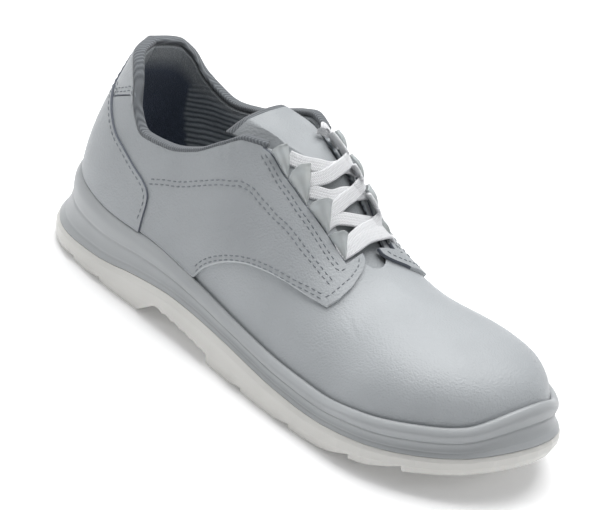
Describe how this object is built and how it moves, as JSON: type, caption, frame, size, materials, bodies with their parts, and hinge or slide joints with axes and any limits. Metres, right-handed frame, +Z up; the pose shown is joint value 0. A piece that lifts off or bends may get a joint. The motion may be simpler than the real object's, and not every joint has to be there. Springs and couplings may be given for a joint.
{
  "type": "safety shoe",
  "caption": "Low-cut right safety shoe with a round wide toe, wrap-around heel counter, derby quarters, film lace loops, flat laces and a lugged cup sole.",
  "frame": {"origin": "on the ground under the middle of the sole's plan outline", "axes": "+X from the heel to the toe, +Y to the inner (medial) side of this right shoe, +Z up; the sole stands on Z 0"},
  "size_m": [0.284, 0.1142, 0.1045],
  "materials": {
    "vamp_leather": "satin white microfibre with a fine grain",
    "quarter_leather": "satin light grey microfibre with a fine grain",
    "counter_leather": "satin light grey microfibre, cut edges dark grey",
    "tab_leather": "satin light grey microfibre",
    "tongue_leather": "satin white microfibre",
    "piping_textile": "grey knitted edging, matt",
    "insole_foam": "dark blue-grey mesh over foam, matt",
    "midsole_foam": "light grey foamed polyurethane, satin",
    "outsole_rubber": "off-white moulded tread, satin",
    "loop_film": "milky film, half gloss",
    "lace_textile": "flat white knitted lace, matt"
  },
  "bodies": {
    "root": {"upper": "vamp_leather", "midsole": "midsole_foam", "outsole": "outsole_rubber", "insole": "insole_foam", "counter": "counter_leather", "heel_tab": "tab_leather", "quarter_outer": "quarter_leather", "quarter_inner": "quarter_leather", "collar_piping": "piping_textile", "tongue": "tongue_leather", "lace_loop_outer_1": "loop_film", "lace_loop_outer_2": "loop_film", "lace_loop_outer_3": "loop_film", "lace_loop_outer_4": "loop_film", "lace_loop_inner_1": "loop_film", "lace_loop_inner_2": "loop_film", "lace_loop_inner_3": "loop_film", "lace_loop_inner_4": "loop_film", "lace_cross_1": "lace_textile", "lace_cross_2": "lace_textile", "lace_cross_3": "lace_textile", "lace_bar": "lace_textile"}
  },
  "joints": []
}
